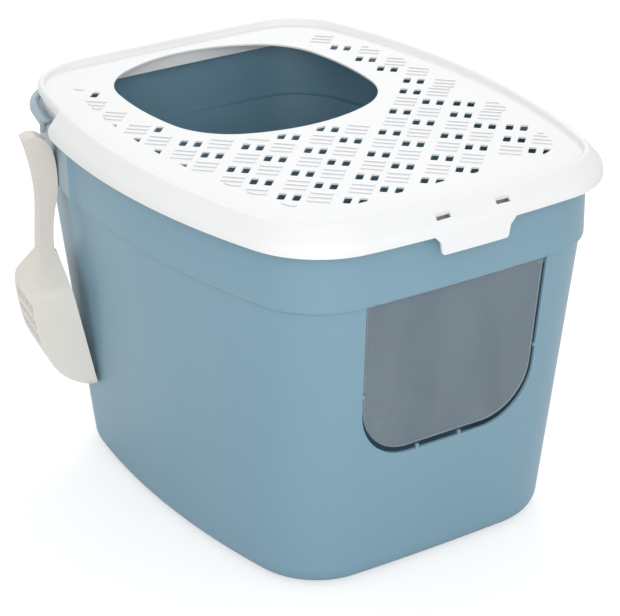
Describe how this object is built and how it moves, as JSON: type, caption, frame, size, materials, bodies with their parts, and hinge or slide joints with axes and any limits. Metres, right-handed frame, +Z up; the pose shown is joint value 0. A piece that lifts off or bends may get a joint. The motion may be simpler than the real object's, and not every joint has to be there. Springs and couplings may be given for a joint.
{
  "type": "litter tray",
  "caption": "Deep tapered litter tub with a tip-up lid that has a top entry and a drain deck, a clear swinging front door and a scoop hung on the rim.",
  "frame": {"origin": "the middle of the foot, on the floor", "axes": "+Z up, -Y towards the front door, the scoop on the -X side near the rear"},
  "size_m": [0.4716, 0.5497, 0.395],
  "materials": {
    "tub_plastic": "satin",
    "lid_plastic": "satin",
    "clear_plastic": "clear, smoke grey",
    "scoop_plastic": "satin"
  },
  "bodies": {
    "tub": {"tub": "tub_plastic"},
    "lid": {"lid": "lid_plastic"},
    "door": {"door_flap": "clear_plastic"},
    "scoop": {"scoop": "scoop_plastic"}
  },
  "joints": [
    {"name": "lid_tip", "type": "hinge", "parent": "tub", "child": "lid", "pos_m": [0, 0.272, 0.3725], "axis": [-1, 0, 0], "range_deg": [0, 50]},
    {"name": "door_swing", "type": "hinge", "parent": "tub", "child": "door", "pos_m": [0, -0.2352, 0.3015], "axis": [1, 0, 0], "range_deg": [-60, 80]},
    {"name": "scoop_lift", "type": "slide", "parent": "tub", "child": "scoop", "axis": [0, 0, 1], "range_m": [0, 0.006]}
  ]
}
